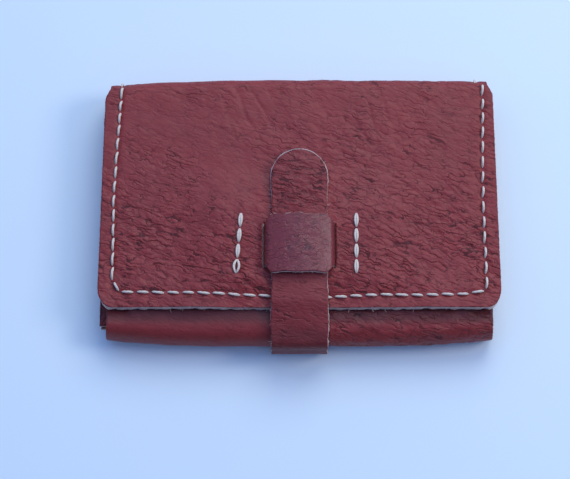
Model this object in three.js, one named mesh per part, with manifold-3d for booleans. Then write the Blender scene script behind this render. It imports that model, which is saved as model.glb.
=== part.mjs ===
// A handmade leather business card case, lying on its back with the flap shut.
// Millimetres. +X is to the right, +Y towards the top fold, +Z up off the back.
// One long hide makes the pocket front, the bottom roll, the back, the spine and the flap.
// It is divided at its folds, so that each stretch between two folds is a rigid solid.
import * as THREE from 'three';
import { mergeVertices } from 'three/addons/utils/BufferGeometryUtils.js';
import Module from 'manifold-3d';

const wasm = await Module();
wasm.setup();

// The whole case
const caseWidth = 100.4; // across the back
const caseLength = 70.9; // outside of the bottom roll to the outside of the top fold
const caseThickness = 10.6; // back to pocket front

// Leathers, thread and the room between things that lie on each other
const leather = 1.3;
const strapLeather = 1.3;
const keeperLeather = 1.1;
const gussetLeather = 1;
const thread = 0.9;
const clearance = 0.3;
const threadClearance = 0.1;

// Flap and spine
const flapProudAtFold = 0.6; // each side, from the edge of the back
const flapProudAtMouth = 1.8;
const caseBelowFlap = 8.75; // what shows of the case below the flap's mouth edge
const flapCornerRadius = 4.6;
const foldRadius = 3.2;

// Pocket, gussets and side seams
const mouthBelowFold = 10.2;
const pocketInset = 0.7; // each side, from the edge of the back
const rollPinch = 1.8; // how far the roll's two ends are drawn in
const gussetProud = 1.2; // the leaves stand out past the edge of the back
const gussetLeaf = 6; // a leaf's raw edge to the pocket side of the gusset's wall
const gussetAboveBottom = 4.8;
const gussetBend = 1.5;
const seamFromEdge = 3;
const seamPressWidth = 3.6; // the leather is pressed down from this far inside the seam
const seamPressSlope = 2.4;
const seamEndMargin = 2.6;
const frontSeamInsideFlap = 1.4; // the front seams stop this far inside the flap's mouth edge

// Strap
const strapWidth = 14.5;
const strapTipAboveKeeper = 18.2;
const strapOverFlapEdge = 2; // how far inside the flap's mouth the strap starts to fall
const strapFall = 19; // degrees
const strapBend = 2.4; // outside radius of its two bends
const strapFallBend = 6;
const strapBackLength = 38;
const strapBackCorner = 4;
const anchorLength = 18; // of the row that sews the strap to the back
const anchorCorner = 1.5;
const channelMargin = 0.8; // the hollow in the back on each side of the strap
const channelSlope = 4;
const channelEndMargin = 2;

// Keeper strip and its two slots
const keeperHeight = 15.4;
const keeperAboveMouth = 16; // its middle, from the flap's mouth edge
const keeperSideRoom = 0.8; // between the strap's edge and a leg
const keeperBend = 2;
const keeperFootBend = 0.2;
const tackFromLeg = 6.8;
const keeperBeyondTack = 3.6;
const tackLength = 16;
const raiseMargin = 1;
const raiseSlope = 6;

// Border stitching
const borderFromFoldEdge = 3.8;
const borderFromEdge = 4;
const borderCorner = 3;

// Heights and lengths that follow from those
const press = thread + threadClearance;
const strapLift = thread + threadClearance;
const channelDepth = strapLift + strapLeather + clearance;
const raise = keeperLeather + clearance;
const flapTop = caseThickness + clearance + leather;
const strapTop = flapTop + raise + clearance + strapLeather;
const strapStand = strapLeather + clearance;
const topY = (caseLength + strapStand) / 2;
const strapY = -topY;
const bottomY = strapY + strapStand;
const rollRadius = caseThickness / 2;
const rollY = bottomY + rollRadius;
const mouthY = topY - mouthBelowFold;
const flapMouthY = bottomY + caseBelowFlap;
const keeperY = flapMouthY + keeperAboveMouth;
const backEdge = caseWidth / 2;
const pocketEdge = backEdge - pocketInset;
const flapEdgeAtFold = backEdge + flapProudAtFold;
const flapEdgeAtMouth = backEdge + flapProudAtMouth;
const gussetEdge = backEdge + gussetProud;
const seamX = pocketEdge - seamFromEdge;
const pressFlatX = seamX - seamPressWidth + seamPressSlope;
const channelX = strapWidth / 2 + channelMargin;
const strapBackY = strapY + strapBend + strapBackLength;
const keeperLegX = strapWidth / 2 + keeperSideRoom + keeperLeather / 2;
const tackX = keeperLegX + tackFromLeg;
const keeperEndX = tackX + keeperBeyondTack;
const quarter = Math.PI / 2;

const hideColour = new THREE.MeshStandardMaterial({ color: 0x77414a, roughness: 0.5 });
const strapColour = new THREE.MeshStandardMaterial({ color: 0x6c3640, roughness: 0.5 });
const keeperColour = new THREE.MeshStandardMaterial({ color: 0x713d49, roughness: 0.45 });
const gussetColour = new THREE.MeshStandardMaterial({ color: 0x5a3038, roughness: 0.6 });
const threadColour = new THREE.MeshStandardMaterial({ color: 0xe2d4e0, roughness: 0.7 });

const cardCase = new THREE.Group();

function add(name, geometry, material) {
  const mesh = new THREE.Mesh(geometry, material);
  mesh.name = name;
  cardCase.add(mesh);
}

// Goes smoothly from 0 at a to 1 at b.
function ease(value, a, b) {
  return THREE.MathUtils.smoothstep((value - a) / (b - a), 0, 1);
}

// The line that a strip of leather follows, seen from its edge. It is made of straight
// stretches and left turns, and depth is measured from the grain face, to the left.
class Lay {
  constructor(a, b, heading) {
    this.stretches = [];
    this.length = 0;
    this.pen = { a, b, heading };
  }

  turn(length, angle) {
    this.stretches.push({ ...this.pen, from: this.length, curl: angle / length });
    this.length += length;
    this.pen = this.at(this.length);
    return this;
  }

  straight(length) {
    return this.turn(length, 0);
  }

  bend(radius, angle) {
    return this.turn(radius * Math.abs(angle), angle);
  }

  at(s) {
    const stretch = this.stretches.findLast((one) => s >= one.from) ?? this.stretches[0];
    const run = s - stretch.from;
    const heading = stretch.heading + stretch.curl * run;
    if (stretch.curl === 0) {
      return {
        a: stretch.a + run * Math.cos(heading),
        b: stretch.b + run * Math.sin(heading),
        heading,
      };
    }
    return {
      a: stretch.a + (Math.sin(heading) - Math.sin(stretch.heading)) / stretch.curl,
      b: stretch.b - (Math.cos(heading) - Math.cos(stretch.heading)) / stretch.curl,
      heading,
    };
  }

  point(s, depth) {
    const { a, b, heading } = this.at(s);
    return [a - depth * Math.sin(heading), b + depth * Math.cos(heading)];
  }
}

// A flat cut of leather, bent into place. place gives the point for a place across
// and along the cut, on its grain face or its flesh face.
function cutLeather(across, along, place) {
  const columns = across.length - 1;
  const rows = along.length - 1;
  const box = new THREE.BoxGeometry(columns, rows, 1, columns, rows, 1);
  box.deleteAttribute('normal');
  box.deleteAttribute('uv');
  const cut = mergeVertices(box);
  const points = cut.attributes.position;
  for (let i = 0; i < points.count; i += 1) {
    const u = across[Math.round(points.getX(i) + columns / 2)];
    const s = along[Math.round(points.getY(i) + rows / 2)];
    points.setXYZ(i, ...place(u, s, points.getZ(i) > 0));
  }
  cut.computeVertexNormals();
  return cut;
}

function mirrored(list) {
  const left = list.filter((x) => x > 0).map((x) => -x);
  return [...left, ...list].sort((a, b) => a - b);
}

function steps(from, to, count) {
  return Array.from({ length: count + 1 }, (_, i) => from + ((to - from) * i) / count);
}

// A thread on a surface, as one round strand.
function strand(points, count) {
  const sides = 6;
  const ring = steps(0, 1, sides).slice(0, sides).map((share) => {
    const angle = share * 2 * Math.PI;
    return new THREE.Vector2(Math.cos(angle), Math.sin(angle)).multiplyScalar(thread / 2);
  });
  const line = new THREE.CatmullRomCurve3(points.map((p) => new THREE.Vector3(...p)));
  const options = { steps: count, bevelEnabled: false, extrudePath: line };
  return new THREE.ExtrudeGeometry(new THREE.Shape(ring), options);
}

function solid(geometry) {
  const plain = geometry.clone();
  plain.deleteAttribute('normal');
  plain.deleteAttribute('uv');
  const merged = mergeVertices(plain);
  const vertProperties = new Float32Array(merged.attributes.position.array);
  const triVerts = new Uint32Array(merged.index.array);
  return new wasm.Manifold(new wasm.Mesh({ numProp: 3, vertProperties, triVerts }));
}

function fromSolid(body) {
  const { vertProperties, triVerts } = body.getMesh();
  const geometry = new THREE.BufferGeometry();
  geometry.setAttribute('position', new THREE.BufferAttribute(vertProperties, 3));
  geometry.setIndex(new THREE.BufferAttribute(triVerts, 1));
  geometry.computeVertexNormals();
  return geometry;
}

// The hide: down the pocket front, round the bottom, up the back, over the spine, down the flap.
const hide = new Lay(mouthY, caseThickness, Math.PI)
  .straight(mouthY - rollY)
  .bend(rollRadius, Math.PI)
  .straight(topY - foldRadius - rollY)
  .bend(foldRadius, quarter)
  .straight(flapTop - 2 * foldRadius)
  .bend(foldRadius, quarter)
  .straight(topY - foldRadius - flapMouthY);

const [, rollStart, backStart, spineBend, spineFlat, flapBend, flapFlat] = hide.stretches.map(
  (stretch) => stretch.from,
);
const spineHinge = (spineBend + spineFlat) / 2;
const flapHinge = (flapBend + flapFlat) / 2;
const cut = clearance / 2; // each side of a line where the hide is divided

// The place along the hide where the flap lies at a given y.
function alongFlap(y) {
  return flapFlat + topY - foldRadius - y;
}

// The hide is pressed in along the side seams, so that the thread lies level with it.
function seamPress(x, s) {
  const fade = 1 - ease(s, flapHinge, flapFlat + foldRadius);
  return press * fade * ease(Math.abs(x), pressFlatX - seamPressSlope, pressFlatX);
}

// The back and the roll are hollowed where the strap passes under them.
const channelStart = THREE.MathUtils.lerp(rollStart, backStart, 0.58);
const channelFull = THREE.MathUtils.lerp(rollStart, backStart, 0.88);
const channelEnd = backStart + strapBackY + channelEndMargin - rollY;
function strapChannel(x, s) {
  const across = 1 - ease(Math.abs(x), channelX, channelX + channelSlope);
  const along = ease(s, channelStart, channelFull) - ease(s, channelEnd, channelEnd + channelSlope);
  return channelDepth * across * along;
}

// The flap is raised where the keeper's ends lie under it.
const raiseX = keeperEndX + raiseMargin;
const raiseHalf = keeperHeight / 2 + raiseMargin;
function keeperRaise(x, s) {
  const fromMiddle = Math.abs(s - alongFlap(keeperY));
  const across = 1 - ease(Math.abs(x), raiseX, raiseX + raiseSlope);
  const along = 1 - ease(fromMiddle, raiseHalf, raiseHalf + raiseSlope / 2);
  return raise * across * along;
}

// The roll's two ends are drawn in towards the case.
function rollDrawnIn(x, s) {
  const round = THREE.MathUtils.clamp((s - rollStart) / (backStart - rollStart), 0, 1);
  return rollPinch * Math.sin(round * Math.PI) * (Math.abs(x) / backEdge) ** 4;
}

// A point of the hide, depth mm under its grain face.
function onHide(x, s, depth) {
  const inward = depth + seamPress(x, s) + strapChannel(x, s) - keeperRaise(x, s);
  const [y, z] = hide.point(s, inward);
  return [x, y + rollDrawnIn(x, s), z];
}

// Goes evenly from a at the place from, to b at the place to.
function taper(s, from, to, a, b) {
  return THREE.MathUtils.lerp(a, b, THREE.MathUtils.clamp((s - from) / (to - from), 0, 1));
}

function flapSide(s) {
  return taper(s, flapFlat, hide.length, flapEdgeAtFold, flapEdgeAtMouth);
}

// Half the width of the flap, s mm along the hide, with its two rounded corners.
function flapOutline(s) {
  const inCorner = Math.max(flapCornerRadius - (hide.length - s), 0);
  return flapSide(s) - flapCornerRadius + Math.sqrt(flapCornerRadius ** 2 - inCorner ** 2);
}

function backOutline(s) {
  return taper(s, backStart, spineBend, backEdge, flapEdgeAtFold);
}

function rollOutline(s) {
  return taper(s, rollStart, backStart, pocketEdge, backEdge);
}

// A stretch of the hide. The outermost column of the cut follows the edge.
function hidePanel(columns, along, outline) {
  const outermost = Math.max(...columns);
  return cutLeather(mirrored(columns), along, (u, s, flesh) => {
    const x = Math.abs(u) === outermost ? Math.sign(u) * outline(s) : u;
    return onHide(x, s, flesh ? leather : 0);
  });
}

const seamColumns = [
  pressFlatX - seamPressSlope,
  pressFlatX - seamPressSlope / 2,
  pressFlatX,
  backEdge,
];
const channelColumns = [0, channelX, channelX + channelSlope / 2, channelX + channelSlope];

add(
  'front_pocket',
  hidePanel([0, ...seamColumns], [0, rollStart - cut], () => pocketEdge),
  hideColour,
);
const backColumns = [...channelColumns, (channelX + channelSlope + seamX) / 2, ...seamColumns];
const rollAlong = steps(rollStart + cut, backStart - cut, 12);
add('bottom_roll', hidePanel(backColumns, rollAlong, rollOutline), hideColour);

const backAlong = [
  backStart + cut,
  channelEnd,
  channelEnd + channelSlope / 2,
  channelEnd + channelSlope,
  ...steps(spineBend, spineHinge - cut, 2),
];
add('back_panel', hidePanel(backColumns, backAlong, backOutline), hideColour);

const spineAlong = [...steps(spineHinge + cut, spineFlat, 2), ...steps(flapBend, flapHinge - cut, 2)];
add('spine', hidePanel([0, ...seamColumns], spineAlong, () => flapEdgeAtFold), hideColour);

const raiseAt = alongFlap(keeperY);
const flapAlong = [
  ...steps(flapHinge + cut, flapFlat, 2),
  flapFlat + foldRadius / 2,
  flapFlat + foldRadius,
  ...steps(raiseAt - raiseHalf - raiseSlope / 2, raiseAt - raiseHalf, 2),
  ...steps(raiseAt + raiseHalf, raiseAt + raiseHalf + raiseSlope / 2, 2),
  ...steps(0, quarter, 4).map((angle) => hide.length - flapCornerRadius * (1 - Math.sin(angle))),
].sort((a, b) => a - b);
const flapColumns = [0, raiseX, raiseX + raiseSlope / 2, raiseX + raiseSlope, ...seamColumns];
const flapSheet = solid(hidePanel(flapColumns, flapAlong, flapOutline));

// The two slots that the keeper strip goes through.
const slotWidth = keeperLeather + 2 * clearance;
const slotLength = keeperHeight + 2 * clearance;
const slots = [-1, 1].map((side) => {
  const slot = new THREE.BoxGeometry(slotWidth, slotLength, 4 * leather);
  slot.translate(side * keeperLegX, keeperY, flapTop + raise - leather / 2);
  return solid(slot);
});
add('flap_panel', fromSolid(flapSheet.subtract(slots[0]).subtract(slots[1])), hideColour);

// Gussets: a strip bent like a bracket, one leaf against the pocket front, one against the back.
const upperLeaf = caseThickness - press - leather - clearance;
const lowerLeaf = press + leather + clearance;
const gusset = new Lay(gussetEdge, upperLeaf, Math.PI)
  .straight(gussetLeaf - gussetBend)
  .bend(gussetBend, quarter)
  .straight(upperLeaf - lowerLeaf - 2 * gussetBend)
  .bend(gussetBend, quarter)
  .straight(gussetLeaf - gussetBend);
const gussetBends = gusset.stretches.map((stretch) => stretch.from);
const gussetAlong = [
  0,
  ...steps(gussetBends[1], gussetBends[2], 3),
  ...steps(gussetBends[3], gussetBends[4], 3),
  gusset.length,
];
const gussetFoot = bottomY + gussetAboveBottom;
for (const [name, side] of [['left_gusset', -1], ['right_gusset', 1]]) {
  const ends = side === 1 ? [mouthY, gussetFoot] : [gussetFoot, mouthY];
  const strip = cutLeather(ends, gussetAlong, (y, s, flesh) => {
    const [x, z] = gusset.point(s, flesh ? gussetLeather : 0);
    return [side * x, y, z];
  });
  add(name, strip, gussetColour);
}

// Side seams through the gusset leaves, on the pocket front and on the back.
const onTop = -threadClearance - thread / 2;
const frontSeam = [seamEndMargin, mouthY - flapMouthY - frontSeamInsideFlap];
const backSeam = [backStart + gussetFoot - rollY + seamEndMargin, spineBend - clearance];
for (const [name, side] of [['left', -1], ['right', 1]]) {
  const front = steps(...frontSeam, 2).map((s) => onHide(side * seamX, s, onTop));
  add(`${name}_front_seam_thread`, strand(front, 2), threadColour);
  const back = steps(...backSeam, 2).map((s) => onHide(side * seamX, s, onTop));
  add(`${name}_back_seam_thread`, strand(back, 2), threadColour);
  const over = [
    ...steps(spineHinge + clearance, spineFlat, 2),
    ...steps(flapBend, flapHinge - clearance, 2),
  ];
  add(
    `${name}_spine_thread`,
    strand(over.map((s) => onHide(side * seamX, s, onTop)), 10),
    threadColour,
  );
}

// The border row goes down one side of the flap, along its mouth and up the other side.
function borderX(s) {
  return flapSide(s) - taper(s, flapFlat, hide.length, borderFromFoldEdge, borderFromEdge);
}
const borderEnd = hide.length - borderFromEdge;
const borderSide = [
  flapFlat + clearance,
  flapFlat + foldRadius,
  ...steps(flapFlat + 2 * foldRadius, borderEnd - borderCorner, 7),
].map((s) => [borderX(s), s]);
const cornerX = borderX(borderEnd) - borderCorner;
const borderTurn = [0.25, 0.5, 0.75].map((share) => [
  cornerX + borderCorner * Math.cos(share * quarter),
  borderEnd - borderCorner * (1 - Math.sin(share * quarter)),
]);
const borderMouth = steps(cornerX, keeperLegX, 6).map((x) => [x, borderEnd]);
const borderHalf = [...borderSide, ...borderTurn, ...borderMouth];
const border = [
  ...borderHalf.map(([x, s]) => [-x, s]),
  ...[...borderHalf].reverse(),
].map(([x, s]) => onHide(x, s, onTop));
add('flap_border_thread', strand(border, 110), threadColour);

// Keeper strip: its ends lie under the flap, its legs go up through the slots,
// and the band between them holds the strap down.
const keeperGrain = flapTop - leather + raise - clearance;
const legOutside = keeperLegX + keeperLeather / 2;
const bandTop = strapTop + clearance + keeperLeather;
const keeper = new Lay(keeperEndX, keeperGrain, Math.PI)
  .straight(keeperEndX - legOutside - keeperFootBend)
  .bend(keeperFootBend, -quarter)
  .straight(bandTop - keeperBend - keeperGrain - keeperFootBend)
  .bend(keeperBend, quarter)
  .straight(2 * (legOutside - keeperBend))
  .bend(keeperBend, quarter)
  .straight(bandTop - keeperBend - keeperGrain - keeperFootBend)
  .bend(keeperFootBend, -quarter)
  .straight(keeperEndX - legOutside - keeperFootBend);
const keeperAlong = keeper.stretches.flatMap((stretch, i) => {
  const end = keeper.stretches[i + 1]?.from ?? keeper.length;
  return stretch.curl > 0 ? steps(stretch.from, end, 4).slice(0, 4) : [stretch.from];
});
const keeperHalf = keeperHeight / 2;
const keeperSides = [keeperY + keeperHalf, keeperY - keeperHalf];
add(
  'keeper_strip',
  cutLeather(keeperSides, [...keeperAlong, keeper.length], (y, s, flesh) => {
    const [x, z] = keeper.point(s, flesh ? keeperLeather : 0);
    return [x, y, z];
  }),
  keeperColour,
);

// The two rows that fix the keeper's ends, sewn through the flap.
const tackStart = alongFlap(keeperY) - tackLength / 2;
for (const [name, side] of [['left_keeper_tack', -1], ['right_keeper_tack', 1]]) {
  const row = steps(tackStart, tackStart + tackLength, 2);
  const points = row.map((s) => onHide(side * tackX, s, onTop));
  add(name, strand(points, 2), threadColour);
}

// The strap, from its tip: up onto the keeper's seat, level through the keeper,
// down over the flap's edge, round the bottom and up the back.
const tipY = keeperY + keeperHeight / 2 + strapTipAboveKeeper;
const seatY = keeperY + raiseHalf + raiseSlope / 2;
const tipRise = Math.atan2(raise, tipY - seatY);
const fall = THREE.MathUtils.degToRad(strapFall);
const strap = new Lay(tipY, strapTop - raise, Math.PI - tipRise)
  .straight((tipY - seatY) / Math.cos(tipRise))
  .bend(strapFallBend, tipRise);
strap.straight(strap.pen.a - (flapMouthY + strapOverFlapEdge)).bend(strapFallBend, fall);
const fallRun = strap.pen.a - strapY - strapBend * (1 - Math.sin(fall));
strap.straight(fallRun / Math.cos(fall));
const bightBend = strap.length;
strap.bend(strapBend, quarter - fall);
const bightFlat = strap.length;
strap.straight(strap.pen.b - strapLift - strapBend);
const backBend = strap.length;
strap.bend(strapBend, quarter);
const strapBackFlat = strap.length;
strap.straight(strapBackLength);
const bightHinge = (bightBend + bightFlat) / 2;
const backHinge = (backBend + strapBackFlat) / 2;

function onStrap(x, s, depth) {
  const [y, z] = strap.point(s, depth);
  return [x, y, z];
}

// Half the strap's width, s mm from an end that is rounded over the given length.
function rounded(s, radius) {
  const inside = Math.max(radius - s, 0) / radius;
  return (strapWidth / 2 - radius) + radius * Math.sqrt(Math.max(1 - inside ** 2, 0));
}

function strapPanel(along, edge) {
  return cutLeather([-1, 0, 1], along, (u, s, flesh) => {
    return onStrap(u * edge(s), s, flesh ? strapLeather : 0);
  });
}

const halfStrap = strapWidth / 2;
const tipBluntness = 0.4;
const tipAlong = steps(0, quarter, 5).map((angle) => halfStrap * (1 - Math.cos(angle)));
const bends = strap.stretches.map((stretch) => stretch.from);
const frontAlong = [
  ...tipAlong,
  ...steps(bends[1], bends[2], 2),
  ...steps(bends[3], bends[4], 2),
  ...steps(bightBend, bightHinge - cut, 2),
];
add(
  'strap_front',
  strapPanel(frontAlong, (s) => Math.max(rounded(s, halfStrap), tipBluntness)),
  strapColour,
);
const bightAlong = [...steps(bightHinge + cut, bightFlat, 2), ...steps(backBend, backHinge - cut, 2)];
add('strap_bight', strapPanel(bightAlong, () => halfStrap), strapColour);
const rearAlong = [
  ...steps(backHinge + cut, strapBackFlat, 2),
  ...steps(quarter, 0, 4).map((angle) => strap.length - strapBackCorner * (1 - Math.cos(angle))),
];
add('strap_back', strapPanel(rearAlong, (s) => rounded(strap.length - s, strapBackCorner)), strapColour);

// The row that sews the strap's end to the back.
const anchorX = halfStrap - seamFromEdge;
const anchorEnd = strap.length - seamFromEdge;
const anchorHalf = [
  ...steps(anchorEnd - anchorLength, anchorEnd - anchorCorner, 3).map((s) => [anchorX, s]),
  [anchorX - anchorCorner * 0.3, anchorEnd - anchorCorner * 0.3],
  [anchorX - anchorCorner, anchorEnd],
];
const anchor = [
  ...anchorHalf.map(([x, s]) => [-x, s]),
  ...[...anchorHalf].reverse(),
].map(([x, s]) => onStrap(x, s, onTop));
add('strap_anchor_thread', strand(anchor, 36), threadColour);

export default cardCase;
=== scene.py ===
import math
import random

import bpy
import numpy as np
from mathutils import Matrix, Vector, noise


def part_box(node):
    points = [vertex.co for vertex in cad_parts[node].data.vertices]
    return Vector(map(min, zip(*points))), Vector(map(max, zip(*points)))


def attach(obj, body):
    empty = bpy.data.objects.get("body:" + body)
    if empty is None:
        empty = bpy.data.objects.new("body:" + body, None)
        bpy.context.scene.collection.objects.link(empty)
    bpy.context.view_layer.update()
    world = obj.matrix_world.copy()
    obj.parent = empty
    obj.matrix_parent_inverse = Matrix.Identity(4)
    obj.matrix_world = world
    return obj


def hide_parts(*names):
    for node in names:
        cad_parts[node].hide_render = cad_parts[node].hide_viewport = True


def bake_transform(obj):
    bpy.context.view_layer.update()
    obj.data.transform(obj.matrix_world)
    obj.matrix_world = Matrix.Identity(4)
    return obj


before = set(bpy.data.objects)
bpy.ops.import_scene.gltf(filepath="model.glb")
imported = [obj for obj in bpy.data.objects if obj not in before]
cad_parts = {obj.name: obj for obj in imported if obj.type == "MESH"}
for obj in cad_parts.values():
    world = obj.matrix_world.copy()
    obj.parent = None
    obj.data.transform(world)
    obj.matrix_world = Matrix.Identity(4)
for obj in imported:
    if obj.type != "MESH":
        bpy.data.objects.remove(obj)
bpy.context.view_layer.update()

# ---------------------------------------------------------------------------
# The hide
# One long piece of full-grain cowhide makes the pocket front, the bottom roll, the back,
# the spine and the flap. It is cut by hand, folded round the cards' pocket and left with
# raw edges. Lengths here are millimetres; meshes are turned into metres as they are made.
# ---------------------------------------------------------------------------
MM = 0.001


def box_mm(node):
    low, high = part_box(node)
    return Vector(low) / MM, Vector(high) / MM


leather = 1.3
strap_leather = 1.3
keeper_leather = 1.1
gap = 0.3

top_y = box_mm("spine")[1].y
mouth_y = box_mm("front_pocket")[1].y
pocket_edge = box_mm("front_pocket")[1].x
case_thickness = box_mm("front_pocket")[1].z
bottom_y = box_mm("bottom_roll")[0].y
back_edge = box_mm("bottom_roll")[1].x
flap_edge_at_fold = box_mm("spine")[1].x
flap_edge_at_mouth = box_mm("flap_panel")[1].x
flap_mouth_y = box_mm("flap_panel")[0].y
flap_top = case_thickness + gap + leather

fold_radius = 3.2
fold_corner_cut = 1.3
flap_corner_wide = 3.8
flap_corner_long = 5.6
mouth_stands_off = 1.25
left_lip = 0.75
right_lip = 0.2
groove_depth = 0.32
groove_width = 0.6
roll_radius = case_thickness / 2
roll_y = bottom_y + roll_radius
roll_pinch = 1.9
press = 1.0
seam_x = pocket_edge - 3.0
press_flat_x = seam_x - 1.2
press_slope = 2.4
left_fold_droop = 1.7
right_fold_droop = 0.5


class Lay:
    """The line that a strip of leather follows, seen from its edge: straights and left turns.
    Depth is measured from the grain face, to the left of the line."""

    def __init__(self, a, b, heading):
        self.stretches = []
        self.length = 0.0
        self.pen = (a, b, heading)

    def turn(self, length, angle):
        self.stretches.append((self.length, *self.pen, angle / length))
        self.length += length
        a, b = self.point(self.length, 0)
        self.pen = (float(a), float(b), self.pen[2] + angle)
        return self

    def straight(self, length):
        return self.turn(length, 0)

    def bend(self, radius, angle):
        return self.turn(radius * abs(angle), angle)

    def point(self, s, depth):
        rows = np.array(self.stretches)
        which = np.searchsorted(rows[:, 0], np.asarray(s, float), "right") - 1
        start, a, b, heading, curl = rows[np.clip(which, 0, len(rows) - 1)].T
        run = s - start
        turned = heading + curl * run
        bent = np.abs(curl) > 0
        safe = np.where(bent, curl, 1)
        a = a + np.where(bent, (np.sin(turned) - np.sin(heading)) / safe, run * np.cos(heading))
        b = b + np.where(bent, (np.cos(heading) - np.cos(turned)) / safe, run * np.sin(heading))
        return a - depth * np.sin(turned), b + depth * np.cos(turned)

    def starts(self):
        return [stretch[0] for stretch in self.stretches]


quarter = math.pi / 2
hide = Lay(mouth_y, case_thickness, math.pi)
hide.straight(mouth_y - roll_y).bend(roll_radius, math.pi)
hide.straight(top_y - fold_radius - roll_y).bend(fold_radius, quarter)
hide.straight(flap_top - 2 * fold_radius).bend(fold_radius, quarter)
hide.straight(top_y - fold_radius - flap_mouth_y)
_, roll_start, back_start, spine_bend, spine_flat, flap_bend, flap_flat = hide.starts()
spine_middle = (spine_flat + flap_bend) / 2
spine_hinge = (spine_bend + spine_flat) / 2
flap_hinge = (flap_bend + flap_flat) / 2


def along_flap(y):
    return flap_flat + top_y - fold_radius - y


def ease(value, a, b):
    """Goes smoothly from 0 at a to 1 at b."""
    t = np.clip((np.asarray(value, float) - a) / (b - a), 0, 1)
    return t * t * (3 - 2 * t)


keeper_y = (box_mm("keeper_strip")[0].y + box_mm("keeper_strip")[1].y) / 2
keeper_half = (box_mm("keeper_strip")[1].y - box_mm("keeper_strip")[0].y) / 2
keeper_end_x = box_mm("keeper_strip")[1].x
keeper_leg_x = 8.6
raise_height = keeper_leather + gap
strap_half = box_mm("strap_back")[1].x
strap_back_y = box_mm("strap_back")[1].y
channel_x = strap_half + 0.8
channel_depth = press + strap_leather + gap
channel_end = back_start + strap_back_y + 2 - roll_y


def seam_press(x, s):
    """The side seams are pulled tight, so the thread lies level with the leather."""
    front = 1 - ease(s, roll_start - 6, roll_start + 1)
    back = ease(s, back_start - 2, back_start + 5) * (1 - ease(s, spine_bend - 6, spine_bend))
    across = ease(np.abs(x), press_flat_x - press_slope, press_flat_x)
    return press * np.maximum(front, back) * across


def strap_channel(x, s):
    """The back is hollowed where the strap runs under the case."""
    first = roll_start + 0.58 * (back_start - roll_start)
    full = roll_start + 0.88 * (back_start - roll_start)
    across = 1 - ease(np.abs(x), channel_x, channel_x + 4)
    return channel_depth * across * (ease(s, first, full) - ease(s, channel_end, channel_end + 4))


def keeper_raise(x, s):
    """The flap is raised where the keeper's ends lie under it."""
    across = 1 - ease(np.abs(x), keeper_end_x - 2, keeper_end_x + 15)
    up = ease(s, along_flap(keeper_y) - keeper_half - 16, along_flap(keeper_y) - keeper_half + 1)
    down = 1 - ease(s, along_flap(keeper_y) + keeper_half, hide.length - 1)
    return raise_height * across * up * down


def mouth_lift(x, s):
    """The flap's mouth stands a little off the roll, except where the strap holds it."""
    free = ease(np.abs(x), 10, 22)
    wave = 0.55 + 0.3 * np.sin(x * 0.19 + 0.8) + 0.15 * np.sin(x * 0.43)
    return mouth_stands_off * free * wave * ease(s, hide.length - 12, hide.length)


def slot_lip(x, s):
    """The outer lips of the keeper's two slots have been pulled up, the left one more."""
    off = (np.abs(x) - keeper_leg_x - 0.9) / 0.7
    along = 1 - ease(np.abs(s - along_flap(keeper_y)), keeper_half - 2.6, keeper_half - 1.6)
    return np.where(x < 0, left_lip, right_lip) * np.exp(-(off**2)) * along * (np.abs(x) > keeper_leg_x)


def drawn_in(x, s):
    """How far the bottom roll's ends and the fold's ends are drawn in, along Y."""
    around = np.clip((s - roll_start) / (back_start - roll_start), 0, 1)
    roll = roll_pinch * np.sin(around * math.pi) * (np.abs(x) / back_edge) ** 4
    droop = np.where(x < 0, left_fold_droop, right_fold_droop)
    near_fold = ease(s, spine_bend - 12, spine_bend) * (1 - ease(s, flap_flat, flap_flat + 14))
    return roll - droop * near_fold * (np.abs(x) / back_edge) ** 2.2


def on_hide(x, s, depth):
    inward = depth + seam_press(x, s) + strap_channel(x, s)
    inward = inward - keeper_raise(x, s) - mouth_lift(x, s) - slot_lip(x, s)
    y, z = hide.point(s, inward)
    return np.stack([x + 0 * y, y + drawn_in(x, s), z], -1)


def taper(s, start, end, a, b):
    return a + (b - a) * np.clip((s - start) / (end - start), 0, 1)


def front_outline(s):
    low = taper(s, roll_start, back_start, pocket_edge, back_edge)
    half = np.where(s > back_start, taper(s, back_start, spine_bend, back_edge, flap_edge_at_fold), low)
    return half - fold_corner(s)


def flap_outline(s):
    side = taper(s, flap_flat, hide.length, flap_edge_at_fold, flap_edge_at_mouth)
    inside = np.clip(1 - (hide.length - s) / flap_corner_long, 0, 1)
    return side - flap_corner_wide * (1 - np.sqrt(1 - inside**2)) - fold_corner(s)


def fold_corner(s):
    """The fold's ends are a little rounded off."""
    past_fold = ease(s, flap_hinge, flap_flat + 1.5)
    return fold_corner_cut * ease(s, spine_bend, spine_middle) * (1 - past_fold)


def filled(marks, spacing):
    """The marks, with even steps between each two that are no longer than the spacing."""
    places = [marks[0]]
    for a, b in zip(marks[:-1], marks[1:]):
        count = max(1, math.ceil((b - a) / spacing - 1e-6))
        places += [a + (b - a) * (i + 1) / count for i in range(count)]
    return np.array(places)


def both_sides(marks):
    return np.array(sorted({-m for m in marks} | set(marks)))


# Wrinkles. A hide creases in a net of cells that are drawn out along the lie of the skin,
# here from the upper left to the lower right, and folds more where it is handled. How the
# creases wander is drawn from this number, so that they fall in the same places in every run.
creases_wander_from = 1795107738
noise.seed_set(creases_wander_from)


def net(x, y, long, short, tilt, seed):
    """How near each point is to a crease of the net: 1 in the crease, 0 on a cell."""
    along = (x * math.cos(tilt) + y * math.sin(tilt)) / long
    across = (y * math.cos(tilt) - x * math.sin(tilt)) / short
    found = np.empty(len(along))
    for i in range(len(along)):
        wander = noise.noise_vector((along[i] * 0.7 + seed, across[i] * 0.5, seed)) * 0.55
        place = (along[i] + wander.x, across[i] + wander.y, seed * 1.7)
        near = noise.voronoi(place)[0]
        found[i] = near[1] - near[0]
    return 1 - ease(found, 0, 0.32)


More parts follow.
